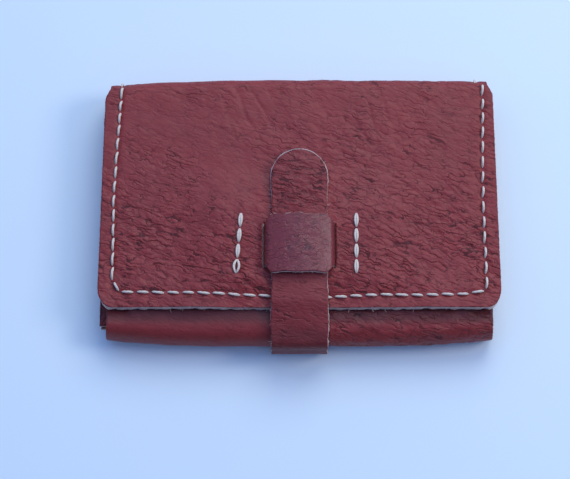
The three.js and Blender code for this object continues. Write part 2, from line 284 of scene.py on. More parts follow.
def cloud(x, y, size, seed):
    """Soft, uneven patches of that size, from -1 to 1."""
    spots = zip(x / size, y / size)
    return np.array([noise.noise((a + seed, b, seed * 0.37)) for a, b in spots])


class Piece:
    """Collects the vertices and faces of one piece, where each lies on the flat cut in
    millimetres, and how worked and creased the leather is there, which also sets how much
    painted shade its creases get."""

    def __init__(self):
        self.points, self.lay, self.worked_and_shaded = [], [], []
        self.faces, self.finish = [], []
        self.count = 0

    def add(self, points, lay, worked_and_shaded, faces, finish):
        self.points.append(points)
        self.lay.append(lay)
        self.worked_and_shaded.append(worked_and_shaded)
        for face in faces:
            self.faces.append([int(v) + self.count for v in face])
        self.finish += [finish] * len(faces) if isinstance(finish, int) else list(finish)
        self.count += len(points)

    def make(self, name, materials):
        mesh = bpy.data.meshes.new(name)
        points = np.concatenate(self.points) * MM
        mesh.from_pydata(points.tolist(), [], self.faces)
        for material in materials:
            mesh.materials.append(material)
        mesh.polygons.foreach_set("material_index", self.finish)
        mesh.polygons.foreach_set("use_smooth", [True] * len(self.faces))
        corners = np.empty(len(mesh.loops), int)
        mesh.loops.foreach_get("vertex_index", corners)
        lay = np.concatenate(self.lay)
        mesh.uv_layers.new(name="lay").uv.foreach_set("vector", lay[corners].ravel())
        # How worked and creased the leather is; it also sets the painted shade in the creases.
        worked_and_shaded = mesh.attributes.new("worked_and_shaded", "FLOAT", "POINT")
        worked_and_shaded.data.foreach_set("value", np.concatenate(self.worked_and_shaded))
        made = bpy.data.objects.new(name, mesh)
        bpy.context.scene.collection.objects.link(made)
        return made


def cut_piece(piece, across, along, outline, keep_x, place, thickness, relief, hole=None,
              slant=None, plain_ends=()):
    """Adds a flat cut of leather, bent into place, with its grain, its flesh and its cut edge.
    Columns inside keep_x stay straight, and those outside follow the outline. The slant is how
    far the knife leaned out, and a plain end is where the next piece of the same hide joins."""
    u, s = [grid.ravel() for grid in np.meshgrid(across, along)]
    columns, rows = len(across), len(along)
    half = outline(s)
    edge = np.abs(across).max()
    spread = keep_x + (np.abs(u) - keep_x) * (half - keep_x) / (edge - keep_x)
    x = np.sign(u) * np.where(np.abs(u) <= keep_x, np.abs(u), spread)
    cell = np.arange((columns - 1) * (rows - 1))
    corner = cell + cell // (columns - 1)
    if hole is not None:
        middle = np.abs(x[corner] + x[corner + 1]) / 2, (s[corner] + s[corner + columns]) / 2
        corner = corner[~hole(*middle)]
    quads = np.stack([corner, corner + columns, corner + columns + 1, corner + 1], -1)

    ends = np.concatenate([quads, np.roll(quads, -1, 1)], 1).reshape(-1, 2, 4)
    pairs = np.stack([ends[:, 0].ravel(), ends[:, 1].ravel()], -1)
    code = pairs[:, 0] * len(u) + pairs[:, 1]
    lone = pairs[~np.isin(code, pairs[:, 1] * len(u) + pairs[:, 0])]
    out = np.zeros((len(u), 2))
    for a, b in ((0, 1), (1, 0)):
        run = np.stack([x, s], -1)[lone[:, 1]] - np.stack([x, s], -1)[lone[:, 0]]
        normal = np.stack([-run[:, 1], run[:, 0]], -1)
        np.add.at(out, lone[:, a], normal)
    rim = np.unique(lone)
    length = np.maximum(np.linalg.norm(out[rim], axis=1), 1e-9)
    out[rim] /= length[:, None]
    for end in plain_ends:
        out[np.abs(s - end) < 1e-6, 1] = 0
    lean = np.zeros(len(u)) if slant is None else slant(x, s)
    raggedness = 0.12
    ragged = raggedness * cloud(x[rim] + s[rim] * 1.3, s[rim] - x[rim], 0.7, 3.1)
    ragged = ragged * (np.abs(out[rim]).sum(1) > 0.1)

    height, crease = relief(x, s)
    rounding = 0.14
    inward_x, inward_s = x - out[:, 0] * rounding, s - out[:, 1] * rounding
    grain = place(inward_x, inward_s, -height)
    flesh_x = inward_x + out[:, 0] * lean
    flesh_s = inward_s + out[:, 1] * lean
    flesh = place(flesh_x, flesh_s, thickness + 0 * height)
    fall = 0.16 * thickness
    upper_x, upper_s = x[rim] + out[rim, 0] * ragged, s[rim] + out[rim, 1] * ragged
    upper = place(upper_x, upper_s, fall - height[rim])
    lower_x = upper_x + out[rim, 0] * lean[rim]
    lower_s = upper_s + out[rim, 1] * lean[rim]
    lower = place(lower_x, lower_s, thickness - fall + 0 * height[rim])

    total = len(u)
    ring = np.full(total, -1)
    ring[rim] = np.arange(len(rim))
    i, j = ring[lone[:, 0]], ring[lone[:, 1]]
    a, b = lone[:, 0], lone[:, 1]
    upper_at, lower_at = 2 * total, 2 * total + len(rim)
    bands = [
        np.stack([b, a, upper_at + i, upper_at + j], -1),
        np.stack([upper_at + j, upper_at + i, lower_at + i, lower_at + j], -1),
        np.stack([lower_at + j, lower_at + i, total + a, total + b], -1),
    ]
    faces = [quads, quads[:, ::-1] + total, *bands]
    joined = np.zeros(len(lone), bool)
    for end in plain_ends:
        joined |= (np.abs(s[lone] - end) < 1e-6).all(1)
    cut_finish = np.where(joined, 1, 2)
    finish = np.repeat([0, 1, 0], [len(one) for one in faces[:3]])
    finish = np.concatenate([finish, cut_finish, cut_finish])
    lay = np.stack([x, s], -1)
    lays = [lay, lay, lay[rim] + out[rim] * fall, lay[rim] + out[rim] * thickness]
    creases = [crease, 0 * crease, crease[rim], crease[rim] * 0]
    piece.add(
        np.concatenate([grain, flesh, upper, lower]),
        np.concatenate(lays),
        np.concatenate(creases),
        np.concatenate(faces),
        finish,
    )


# The rows of stitches. They were marked out by eye, so their distance from the edge wanders.
side_places = [flap_flat, (flap_flat + hide.length) / 2, hide.length]
left_insets = (4.3, 3.3, 4.0)
right_insets = (2.7, 3.8, 3.9)
mouth_places = (-46, -20, -8, 8, 23, 31, 43, 47.5)
mouth_insets = (4.1, 3.6, 3.0, 2.7, 3.4, 3.1, 3.5, 4.4)


def side_row_x(s, side):
    inset = np.interp(s, side_places, left_insets if side < 0 else right_insets)
    return side * (taper(s, flap_flat, hide.length, flap_edge_at_fold, flap_edge_at_mouth) - inset)


def mouth_row_s(x):
    return hide.length - np.interp(x, mouth_places, mouth_insets)


def stitch_groove(x, s):
    """The thread draws the leather down a little along each row."""
    side = np.where(x < 0, side_row_x(s, -1), side_row_x(s, 1))
    on_flap = ease(s, flap_bend, flap_flat)
    off_side = np.where(s < mouth_row_s(x) + 0.6, np.abs(x - side), 9)
    off_mouth = np.where(np.abs(x) < np.abs(side) + 0.6, np.abs(s - mouth_row_s(x)), 9)
    off_flap_rows = np.minimum(off_side, off_mouth)
    off_seam = np.abs(np.abs(x) - seam_x)
    apart = on_flap * off_flap_rows + (1 - on_flap) * off_seam
    sewn = 1 - ease(s, roll_start - 8, roll_start - 5) * (1 - ease(s, back_start + 2, back_start + 5))
    return groove_depth * sewn * np.exp(-((apart / groove_width) ** 2))


def spot(x, y, at_x, at_y, wide, high):
    return np.exp(-(((x - at_x) / wide) ** 2 + ((y - at_y) / high) ** 2))


def hide_relief(x, s):
    """Height of the grain over its plain face, and how worked it is, over the whole hide; how
    worked it is also sets the painted shade in its creases. The flap is most worked low down
    and beside the tacks, and calm at two places on its left."""
    y = along_flap(0) - s
    on_flap = ease(s, flap_bend, flap_flat)
    lower = ease(-y, -20, 14)
    patch = cloud(x, y, 12, 2.3)
    calm = 0.5 * spot(x, y, -16, 12, 9, 10) + 0.4 * spot(x, y, -40, 26, 17, 9)
    tugged = 0.35 * spot(x, y, -15, -14, 9, 9) + 0.25 * spot(x, y, 15, -14, 8, 8)
    margin = 0.35 * ease(s, hide.length - 4.5, hide.length - 2.5)
    worked_and_shaded = np.clip(0.34 + 0.42 * lower + 0.4 * patch - calm + tugged - margin, 0.05, 1)
    elsewhere = np.clip(0.3 + 0.5 * patch + 0.35 * np.tanh(x / 8), 0.04, 1)
    worked_and_shaded = on_flap * worked_and_shaded + (1 - on_flap) * elsewhere
    wide = net(x, y, 6.5, 2.3, math.radians(-24), 9.4)
    long_one = net(x, y, 15, 6, math.radians(-34), 14.6)
    upright = net(x, y, 10, 3.6, math.radians(-68), 23.2)
    stood = on_flap * np.clip(spot(x, y, -11, 25, 8, 9) + spot(x, y, 20, 24, 7, 8), 0, 1)
    on_roll = ease(s, roll_start - 2, roll_start + 2) * (1 - ease(s, back_start - 2, back_start + 2))
    level = cloud(x, s * 3.2, 6, 5.5) * on_roll * ease(x, 6, 16)
    swell = 0.15 * cloud(x, y, 9, 7.7) + 0.05 * cloud(x, y, 3, 1.9) + 0.22 * level
    dents = 0.17 * worked_and_shaded * wide * (1 - stood) + 0.16 * (0.3 + 0.7 * worked_and_shaded) * long_one
    dents = dents + 0.2 * stood * upright
    return swell - dents - stitch_groove(x, s), worked_and_shaded


slot_inside = keeper_leg_x - 0.7
slot_outside = keeper_leg_x + 0.85
straight_to_x = 14
flap_step = 0.42
flap_across = [0, slot_inside, slot_outside, straight_to_x, flap_edge_at_mouth]
flap_across = both_sides(filled(flap_across, flap_step))
slot_half = keeper_half - 1.9
slot_at = along_flap(keeper_y)
corner_rows = [hide.length - flap_corner_long * (1 - math.sin(a)) for a in np.linspace(0.3, quarter, 14)]
flap_marks = [spine_middle, flap_bend, flap_flat, slot_at - slot_half, slot_at + slot_half]
flap_along = filled([*flap_marks, corner_rows[0]], flap_step)
flap_along = np.concatenate([flap_along, corner_rows[1:]])


def in_slot(x, s):
    return (x > slot_inside) & (x < slot_outside) & (np.abs(s - slot_at) < slot_half)


def flap_slant(x, s):
    """The knife leaned out along the mouth, and on the outer side of the left slot."""
    mouth = (0.38 + 0.16 * np.sin(x * 1.7) * np.sin(x * 0.43)) * ease(s, hide.length - 2, hide.length)
    slot = np.where(x < 0, 0.5, 0.16) * (np.abs(np.abs(x) - slot_outside) < 0.1) * (s < hide.length - 9)
    return mouth + slot


def strand(piece, centre, radius, finish=0, sides=7):
    """A tube of changing radius along a line of points."""
    line = np.asarray(centre)
    tangent = np.gradient(line, axis=0)
    tangent /= np.linalg.norm(tangent, axis=1)[:, None]
    up = np.array([0.31, 0.17, 0.93])
    side = np.cross(tangent, up)
    side /= np.linalg.norm(side, axis=1)[:, None]
    other = np.cross(side, tangent)
    turn = np.linspace(0, 2 * math.pi, sides, endpoint=False)
    ring = np.cos(turn)[None, :, None] * side[:, None] + np.sin(turn)[None, :, None] * other[:, None]
    points = line[:, None] + ring * np.asarray(radius)[:, None, None]
    count = len(line)
    faces = []
    for i in range(count - 1):
        for k in range(sides):
            after = (k + 1) % sides
            here, there = i * sides, (i + 1) * sides
            faces.append([here + k, here + after, there + after, there + k])
    faces.append(list(range(sides))[::-1])
    faces.append([(count - 1) * sides + k for k in range(sides)])
    around = np.stack([np.tile(turn / math.pi, count), np.repeat(np.arange(count) * 0.3, sides)], -1)
    piece.add(points.reshape(-1, 3), around, np.zeros(count * sides), faces, finish)


def loose_fibres(piece, place, roots, depth, seed, longest=1.9):
    """Fibres standing out of a raw cut edge. A root is a lay point and the way out from it."""
    chance = random.Random(seed)
    t = np.linspace(0, 1, 6)
    for x, s, out_x, out_s in roots:
        reach = chance.uniform(0.35, 1) ** 1.6 * longest * t
        stray = chance.uniform(-0.8, 0.8) * longest * 0.5 * t**1.6
        drop = chance.uniform(-0.5, 0.5) * t**2
        line = place(x + out_x * reach + out_s * stray, s + out_s * reach - out_x * stray, depth + drop)
        strand(piece, line, 0.085 * (1 - 0.55 * t), finish=2, sides=4)


flap_piece = Piece()
cut_piece(flap_piece, flap_across, flap_along, flap_outline, straight_to_x, on_hide, leather,
          hide_relief, hole=in_slot, slant=flap_slant, plain_ends=[spine_middle])
chance = random.Random(61)
mouth_xs = [chance.uniform(-46, 47) for i in range(20)] + [chance.uniform(-37, -16) for i in range(8)]
loose_fibres(flap_piece, on_hide, [(x, hide.length - 0.1, 0, 1) for x in mouth_xs if abs(x) > 7],
             leather * 0.8, 62, longest=1.3)

body_across = both_sides(filled([0, back_edge], 0.5))
body_along = np.concatenate([
    filled([0, roll_start - 6], 1.0)[:-1],
    filled([roll_start - 6, back_start], 0.45)[:-1],
    filled([back_start, spine_bend], 0.65)[:-1],
    filled([spine_bend, spine_middle], flap_step),
])
body_piece = Piece()
cut_piece(body_piece, body_across, body_along, front_outline, 30, on_hide, leather, hide_relief,
          plain_ends=[spine_middle])


def linear(colour):
    """An sRGB hex colour as the linear colour that a shader takes."""
    parts = [int(colour[i : i + 2], 16) / 255 for i in (1, 3, 5)]
    return [*(p / 12.92 if p <= 0.04045 else ((p + 0.055) / 1.055) ** 2.4 for p in parts), 1]


def node(tree, kind, sockets=None, **settings):
    """Adds a shader node with its settings. A socket gets a link, or else a value of its own."""
    made = tree.nodes.new("ShaderNode" + kind)
    for name, value in settings.items():
        setattr(made, name, value)
    for name, value in (sockets or {}).items():
        if isinstance(value, bpy.types.NodeSocket):
            tree.links.new(value, made.inputs[name])
        else:
            made.inputs[name].default_value = value
    return made


def layered(tree, *layers):
    """The sum of some layers of a pattern, each with its weight."""
    total = 0.0
    for layer, weight in layers:
        sockets = {0: layer, 1: weight, 2: total}
        total = node(tree, "Math", sockets, operation="MULTIPLY_ADD").outputs["Value"]
    return total


def empty_material(name):
    material = bpy.data.materials.new(name)
    material.use_nodes = True
    material.node_tree.nodes.clear()
    return material, material.node_tree


def line_and_pillow(tree, away, width, reach):
    """From how far away a crease is: its dark line, and the swelling of the skin beside it."""
    line = node(tree, "MapRange", {"Value": away, "From Max": width, "To Min": 1.0, "To Max": 0.0},
                interpolation_type="SMOOTHSTEP")
    pillow = node(tree, "MapRange", {"Value": away, "From Max": reach}, interpolation_type="SMOOTHSTEP")
    return line.outputs["Result"], pillow.outputs["Result"]


def grain_leather(name, light, dark, roughness, gloss, lie=22, long=4.6, short=1.5, deep=0.21,
                  painted_shade_band=(-99, 0, 0)):
    """Full-grain cowhide, dyed through and lightly glazed: a satin skin with a fine net of
    creases, duller in them and darker with painted shade, and wider wrinkles where it has
    been worked. It can have a band of painted shade: how far along the cut, how far that
    reaches, and how dark. Creases lie at that angle in degrees, one of them that long and
    broad in millimetres."""
    material, tree = empty_material(name)
    lay = node(tree, "UVMap", uv_map="lay").outputs["UV"]

    # The lay is in millimetres, so a noise of scale 3.4 has spots 0.3 mm apart. Real pores are
    # about half that, which would not show.
    wander = node(tree, "TexNoise", {"Vector": lay, "Scale": 0.42, "Detail": 3.0, "Roughness": 0.62})
    sway = node(tree, "VectorMath", {0: wander.outputs["Color"], 1: (2.8, 2.4, 0), 2: lay},
                operation="MULTIPLY_ADD").outputs["Vector"]
    pores = node(tree, "TexNoise", {"Vector": lay, "Scale": 3.4, "Detail": 3.0, "Roughness": 0.65})
    patches = node(tree, "TexNoise", {"Vector": lay, "Scale": 0.09, "Detail": 3.0, "Roughness": 0.6})
    breaks = node(tree, "TexNoise", {"Vector": lay, "Scale": 0.3, "Detail": 2.0})
    broken = node(tree, "MapRange", {"Value": breaks.outputs["Fac"], "From Min": 0.4, "From Max": 0.6,
                                     "To Min": 0.3}).outputs["Result"]
    worked_and_shaded = node(tree, "Attribute", attribute_name="worked_and_shaded").outputs["Fac"]
    some = layered(tree, (worked_and_shaded, 0.6), (0.3, 1.0))

    # The fine net: the edges of cells drawn out along the lie of the skin.
    drawn_out = {"Vector": sway, "Rotation": (0, 0, math.radians(lie + 6)),
                 "Scale": (0.85 * long, 0.85 * short, 1)}
    cell_place = node(tree, "Mapping", drawn_out, vector_type="TEXTURE").outputs["Vector"]
    cells = node(tree, "TexVoronoi", {"Vector": cell_place, "Scale": 1.0},
                 feature="DISTANCE_TO_EDGE", voronoi_dimensions="2D")
    fine_line, fine_pillow = line_and_pillow(tree, cells.outputs["Distance"], 0.085, 0.28)

    # The wide wrinkles: lines that wander where a stretched noise is half way up.
    stretched = {"Vector": sway, "Rotation": (0, 0, math.radians(lie - 4)),
                 "Scale": (1.6 * long, 1.15 * short, 1)}
    fold_place = node(tree, "Mapping", stretched, vector_type="TEXTURE").outputs["Vector"]
    folds = node(tree, "TexNoise", {"Vector": fold_place, "Scale": 1.0, "Detail": 1.2,
                                    "Roughness": 0.42}, noise_dimensions="2D")
    centred = node(tree, "Math", {0: folds.outputs["Fac"], 1: 0.5}, operation="SUBTRACT")
    away = node(tree, "Math", {0: centred.outputs["Value"]}, operation="ABSOLUTE").outputs["Value"]
    wide_line, wide_pillow = line_and_pillow(tree, away, 0.027, 0.11)
    wide_amount = layered(tree, (worked_and_shaded, broken), (broken, 0.12))

    fine = layered(tree, (fine_line, some))
    wide = layered(tree, (wide_line, wide_amount))
    hollow = layered(tree, (fine, 0.75), (wide, 1.9))
    # Painted shade in the creases: along the crease lines the colour goes to the dark colour.
    crease_shaded_colour = node(tree, "MixRGB", {"Fac": hollow, "Color1": linear(light), "Color2": linear(dark)},
               use_clamp=True)
    along = node(tree, "SeparateXYZ", {"Vector": lay}).outputs["Y"]
    # A band of painted shade: across it the colour is darkened by that amount.
    band_place, reach, amount = painted_shade_band
    past = node(tree, "Math", {0: along, 1: band_place}, operation="SUBTRACT").outputs["Value"]
    off_band = node(tree, "Math", {0: past}, operation="ABSOLUTE").outputs["Value"]
    in_band = node(tree, "MapRange", {"Value": off_band, "From Min": reach, "From Max": 2 * reach + 1.2,
                                      "To Min": -amount, "To Max": 0.0}, interpolation_type="SMOOTHSTEP")
    tone = layered(tree, (patches.outputs["Fac"], 0.34), (pores.outputs["Fac"], 0.22),
                   (in_band.outputs["Result"], 1.0), (0.74, 1.0))
    colour = node(tree, "VectorMath", {0: crease_shaded_colour.outputs["Color"], "Scale": tone}, operation="SCALE")

    # Heights are in millimetres.
    fine_swell = layered(tree, (fine_pillow, some))
    wide_swell = layered(tree, (wide_pillow, wide_amount))
    height = layered(tree, (fine_swell, 0.045), (wide_swell, deep), (pores.outputs["Fac"], 0.014))
    bump = node(tree, "Bump", {"Height": height, "Strength": 1.0, "Distance": MM})
    dull = node(tree, "MapRange", {"Value": hollow, "To Min": roughness,
                                   "To Max": min(1, roughness + 0.25)})
    skin = node(tree, "BsdfPrincipled", {
        "Base Color": colour.outputs["Vector"], "Roughness": dull.outputs["Result"],
        "Normal": bump.outputs["Normal"], "IOR": 1.45, "Coat Weight": gloss, "Coat Roughness": 0.36,
    })
    node(tree, "OutputMaterial", {"Surface": skin.outputs["BSDF"]})
    return material


def suede(name, light, dark):
    """The flesh side and the cut edge: a matt, cloudy nap of short fibres, with no gloss."""
    material, tree = empty_material(name)
    lay = node(tree, "UVMap", uv_map="lay").outputs["UV"]
    nap = node(tree, "TexNoise", {"Vector": lay, "Scale": 2.2, "Detail": 5.0, "Roughness": 0.7})
    clouds = node(tree, "TexNoise", {"Vector": lay, "Scale": 0.12, "Detail": 3.0})
    mottle = layered(tree, (nap.outputs["Fac"], 1.7), (clouds.outputs["Fac"], 1.1), (-0.9, 1.0))
    colour = node(tree, "MixRGB", {"Fac": mottle, "Color1": linear(dark), "Color2": linear(light)},
                  use_clamp=True)
    bump = node(tree, "Bump", {"Height": nap.outputs["Fac"], "Strength": 0.8, "Distance": 0.00015})
    skin = node(tree, "BsdfPrincipled", {
        "Base Color": colour.outputs["Color"], "Normal": bump.outputs["Normal"], "Roughness": 0.95,
        "Sheen Weight": 0.25, "Sheen Roughness": 0.5,
    })
    node(tree, "OutputMaterial", {"Surface": skin.outputs["BSDF"]})
    return material


# On the front just above the bottom roll, under the flap's mouth, a band of painted shade where the flap
# shades it.
hide_grain = grain_leather("oxblood_full_grain_cowhide", "#912b28", "#541112", 0.52, 0.05,
                           painted_shade_band=(roll_start - 2.8, 1.6, 0.52))
hide_flesh = suede("oxblood_flesh_side", "#8d564a", "#63342f")
# The cut edge is the pale undyed core, and its colour is made lighter still as painted light, so that it
# shows bright where it lies in shade.
raw_edge_lightened = suede("undyed_raw_cut_edge_painted_light", "#f6d3c3", "#b08577")

# The top fold bends at each end of the spine; the hide is made as two meshes that meet at the spine's
# middle.
hide_body = body_piece.make("hide_pocket_and_back", [hide_grain, hide_flesh, raw_edge_lightened])
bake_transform(hide_body)
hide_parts("front_pocket", "bottom_roll", "back_panel")

hide_flap = flap_piece.make("hide_flap", [hide_grain, hide_flesh, raw_edge_lightened])
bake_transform(hide_flap)
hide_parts("spine", "flap_panel")

# ---------------------------------------------------------------------------
# The gussets
# Two strips of the same leather, thinner, bent like a bracket between the pocket front and
# the back, with their leaves standing out past the edges. Sewn in by the side seams.
# ---------------------------------------------------------------------------
gusset_edge = box_mm("right_gusset")[1].x
gusset_leaf = gusset_edge - box_mm("right_gusset")[0].x
gusset_foot = box_mm("right_gusset")[0].y
gusset_top = box_mm("right_gusset")[1].z
gusset_low = box_mm("right_gusset")[0].z
gusset_leather = 1.0
gusset_bend = 1.5
right_tucked_in = 1.5
gusset = Lay(gusset_edge, gusset_top, math.pi).straight(gusset_leaf - gusset_bend)
gusset.bend(gusset_bend, quarter).straight(gusset_top - gusset_low - 2 * gusset_bend)
gusset.bend(gusset_bend, quarter).straight(gusset_leaf - gusset_bend)
# The gussets' darker colours are painted shade: their leaves lie low, in the shade of the pocket front
# and the back.
gusset_grain_shaded = grain_leather("split_cowhide_gusset_painted_shade", "#6f2323", "#3d0d10", 0.62, 0.0)


def slight_relief(x, s):
    return 0.1 * cloud(x, s, 5, 8.8), np.clip(0.4 + 0.6 * cloud(x, s, 8, 4.4), 0.05, 1)


for name, side in (("left_gusset", -1), ("right_gusset", 1)):
    length = mouth_y - gusset_foot
    middle = (mouth_y + gusset_foot) / 2

    def on_gusset(u, s, depth, side=side, middle=middle):
        x, z = gusset.point(s, depth)
        tucked_in = right_tucked_in if side > 0 else 0
        return np.stack([side * (x - tucked_in), middle - side * u, z], -1)

    strip = Piece()
    gusset_across = both_sides(filled([0, length / 2], 0.6))
    gusset_along = filled(gusset.starts() + [gusset.length], 0.45)
    cut_piece(strip, gusset_across, gusset_along, lambda s, half=length / 2: half + 0 * s, 1, on_gusset,
              gusset_leather, slight_relief)
    made = strip.make(name + "_leather", [gusset_grain_shaded, hide_flesh, raw_edge_lightened])
    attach(made, "case_body")
    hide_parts(name)

# ---------------------------------------------------------------------------
# The strap
# One strip with a half-round tip. It is sewn to the back, comes round the bottom and goes
# up the front, over the flap's mouth and under the keeper. Its cut edges show pale.
# ---------------------------------------------------------------------------
strap_y = box_mm("strap_bight")[0].y
strap_tip_y = box_mm("strap_front")[1].y
strap_top = flap_top + raise_height + gap + strap_leather
strap_bend = 2.4
fall_bend = 6.0
fall = math.radians(19)
seat_y = keeper_y + keeper_half + 5
tip_rise = math.atan2(raise_height - 1.3, strap_tip_y - seat_y)
tip_lean = 0.4
strap_step = 0.36
strap = Lay(strap_tip_y - tip_lean, strap_top - raise_height + 1.3, math.pi - tip_rise)
strap.straight((strap_tip_y - tip_lean - seat_y) / math.cos(tip_rise)).bend(fall_bend, tip_rise)
strap.straight(strap.pen[0] - (flap_mouth_y + 2)).bend(fall_bend, fall)
fall_run = strap.pen[0] - strap_y - strap_bend * (1 - math.sin(fall))
strap.straight(fall_run / math.cos(fall)).bend(strap_bend, quarter - fall)
strap.straight(strap.pen[1] - press - strap_bend).bend(strap_bend, quarter)
strap.straight(strap_back_y - strap.pen[0])
bight_bend, bight_flat, back_bend, strap_back_flat = strap.starts()[5:9]
bight_middle = (bight_flat + back_bend) / 2


def strap_outline(s):
    tip = np.maximum(strap_half - s, 0) / strap_half
    rear = np.maximum(4 - (strap.length - s), 0) / 4
    half = strap_half * np.sqrt(np.maximum(1 - tip**2, 0))
    rear_half = strap_half - 4 + 4 * np.sqrt(np.maximum(1 - rear**2, 0))
    wave = 0.12 * np.sin(s * 0.31) + 0.08 * np.sin(s * 0.83 + 1)
    return np.maximum(np.minimum(half, rear_half), 0.4) + wave * ease(s, 4, 12) * (s < back_bend)


def on_strap(x, s, depth):
    reaches_roll = 44
    front = 1 - ease(s, reaches_roll, bight_bend)
    curl = 0.5 * (np.abs(x) / strap_half) ** 2 * front
    tip_down = 0.35 * ease(-s, -3.5, 0)
    y, z = strap.point(s, depth + curl + tip_down)
    return np.stack([x + 0 * y, y, z], -1)


def strap_relief(x, s):
    """The tip is wrinkled across from being handled, and the rest is nearly smooth."""
    tip = 1 - ease(s, 14, 20)
    # The lower run, which faces away from the light, gets more crease darkening as painted shade.
    low = ease(s, 32, 40) * (1 - ease(s, bight_bend - 4, bight_bend))
    across = net(x, s, 7.5, 1.5, math.radians(17), 31.7)
    patch = np.clip(0.6 + 0.6 * cloud(x, s, 6, 6.1), 0.15, 1)
    amount = 0.95 * tip + 0.22 * (1 - tip) + 0.1 * low
    return 0.09 * cloud(x, s, 5, 2.8) - 0.2 * tip * across * patch, np.clip(amount * (0.5 + patch), 0, 1)


def strap_slant(x, s):
    """The cut leans out unevenly, most round the tip and down the right side."""
    around = np.clip(0.16 + 0.3 * cloud(x * 0.4, s, 2.6, 15.4), 0.0, 0.3)
    tip = 1 - ease(s, 7, 16)
    return around * np.where(x > 0, 0.9, 0.2 + 0.8 * tip) + 0.08 * tip + 0.3 * (1 - ease(s, 0.3, 4.5))


tip_rows = [strap_half * (1 - math.cos(a)) for a in np.linspace(0.02, quarter, 26)]
strap_across = both_sides(filled([0, strap_half], strap_step))
fore_marks = [tip_rows[-1], bight_bend, bight_flat, bight_middle]
fore_along = np.concatenate([tip_rows, filled(fore_marks, strap_step)[1:]])
rear_rows = [strap.length - 4 * (1 - math.cos(a)) for a in np.linspace(quarter, 0, 9)]
rear_marks = [bight_middle, back_bend, strap_back_flat, rear_rows[0]]
rear_along = np.concatenate([filled(rear_marks, 0.45), rear_rows[1:]])
# Where the strap falls over the bottom roll and faces away from the light, a band of painted shade.
strap_grain = grain_leather("oxblood_strap_leather", "#8a2826", "#521416", 0.52, 0.04, lie=17, long=5.2,
                            short=1.25, painted_shade_band=(53, 3, 0.3))
chance = random.Random(71)
bight_y, free_y = (strap_y + 1.05) * MM, (strap_y + 2.75) * MM
strap_parts = (
    ("strap_tongue", fore_along, "strap_bight", "strap_front", bight_y, free_y, 0.01, "strap_front"),
    ("strap_tail", rear_along, "case_body", "strap_bight", free_y, bight_y, 0.0017, "strap_back"),
)
for name, along, first, second, start_y, end_y, bend_z, stands_for in strap_parts:
    part = Piece()
    cut_piece(part, strap_across, along, strap_outline, 0.01, on_strap, strap_leather, strap_relief,
              slant=strap_slant, plain_ends=[bight_middle])
    if stands_for == "strap_front":
        marks = [(side, chance.uniform(2.5, 52)) for side in (-1, -1, 1) for i in range(12)]
        fuzz = [(side * float(strap_outline(np.array(s))) * 0.995, s, side, 0) for side, s in marks]
        loose_fibres(part, on_strap, fuzz, strap_leather * 0.8, 72, longest=0.9)
    made = part.make(name, [strap_grain, hide_flesh, raw_edge_lightened])
    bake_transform(made)
    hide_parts(stands_for)
    if stands_for == "strap_back":
        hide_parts("strap_bight")

# ---------------------------------------------------------------------------
# The keeper
# A strip of the hide whose two ends go down through slots in the flap and are sewn to its
# underside. Its middle stands up in a low arch over the strap.
# ---------------------------------------------------------------------------
keeper_grain_z = flap_top - leather + raise_height - gap
leg_outside = keeper_leg_x + keeper_leather / 2
foot_bend = 0.35
arch_bend = 2.1
arch_tilt = math.radians(20)
band_side_top = strap_top + gap + keeper_leather
arch_radius = (leg_outside - arch_bend * (1 - math.sin(arch_tilt))) / math.sin(arch_tilt)
leg_height = band_side_top - 0.2 - arch_bend - keeper_grain_z - foot_bend
keeper = Lay(keeper_end_x, keeper_grain_z, math.pi)
keeper.straight(keeper_end_x - leg_outside - foot_bend).bend(foot_bend, -quarter).straight(leg_height)
keeper.bend(arch_bend, quarter - arch_tilt).bend(arch_radius, 2 * arch_tilt)
keeper.bend(arch_bend, quarter - arch_tilt).straight(leg_height).bend(foot_bend, -quarter)
keeper.straight(keeper_end_x - leg_outside - foot_bend)
keeper_bends = keeper.starts()
keeper_middle = keeper.length / 2
band_half = keeper_middle - keeper_bends[3]


def keeper_outline(s):
    """The strip's edges are nipped in where it goes through the slots, which are shorter."""
    nip = 2.1
    from_leg = np.abs(np.abs(s - keeper_middle) - band_half - leg_height / 2)
    nipped = keeper_half - nip * (1 - ease(from_leg, leg_height / 2 + 0.6, leg_height / 2 + 3.6))
    return nipped + 0.1 * np.sin(s * 0.9)


def on_keeper(u, s, depth):
    x, z = keeper.point(s, depth)
    return np.stack([x, keeper_y - u, z], -1)


def keeper_relief(u, s):
    crackle = np.clip(0.4 + 0.5 * cloud(u, s, 5, 3.6), 0.1, 1)
    creases = net(u, s, 3.4, 1.6, math.radians(75), 44.2)
    return 0.07 * cloud(u, s, 4, 9.9) - 0.08 * crackle * creases, crackle


def keeper_slant(u, s):
    return np.clip(0.16 + 0.3 * cloud(u, s, 1.8, 12.5), 0, 0.35) * np.where(u > 0, 0.3, 1)


band = Piece()
keeper_across = both_sides(filled([0, keeper_half], strap_step))
keeper_along = filled(keeper_bends + [keeper.length], strap_step)
cut_piece(band, keeper_across, keeper_along, keeper_outline, 0.01, on_keeper, keeper_leather,
          keeper_relief, slant=keeper_slant)
chance = random.Random(81)
frayed = [(side, keeper_middle + chance.uniform(-8, 8)) for side in (1, 1, 1, -1) for i in range(5)]
loose_fibres(band, on_keeper, [(side * keeper_half * 0.99, s, side, 0) for side, s in frayed],
             keeper_leather * 0.7, 82, longest=0.6)
keeper_grain = grain_leather("oxblood_keeper_leather", "#822726", "#4c1012", 0.35, 0.34,
                             lie=70, long=2.6, short=1.2)
keeper_band = band.make("keeper_band", [keeper_grain, hide_flesh, raw_edge_lightened])
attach(keeper_band, "flap")
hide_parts("keeper_strip")

# ---------------------------------------------------------------------------
# The stitching
# Saddle stitches of waxed cream linen, two plies twisted, about four millimetres to a hole.
# Each stitch is full in the middle and goes down into its hole at both ends.
# ---------------------------------------------------------------------------
thread_radius = 0.47
tack_radius = 0.38
pitch = 3.95


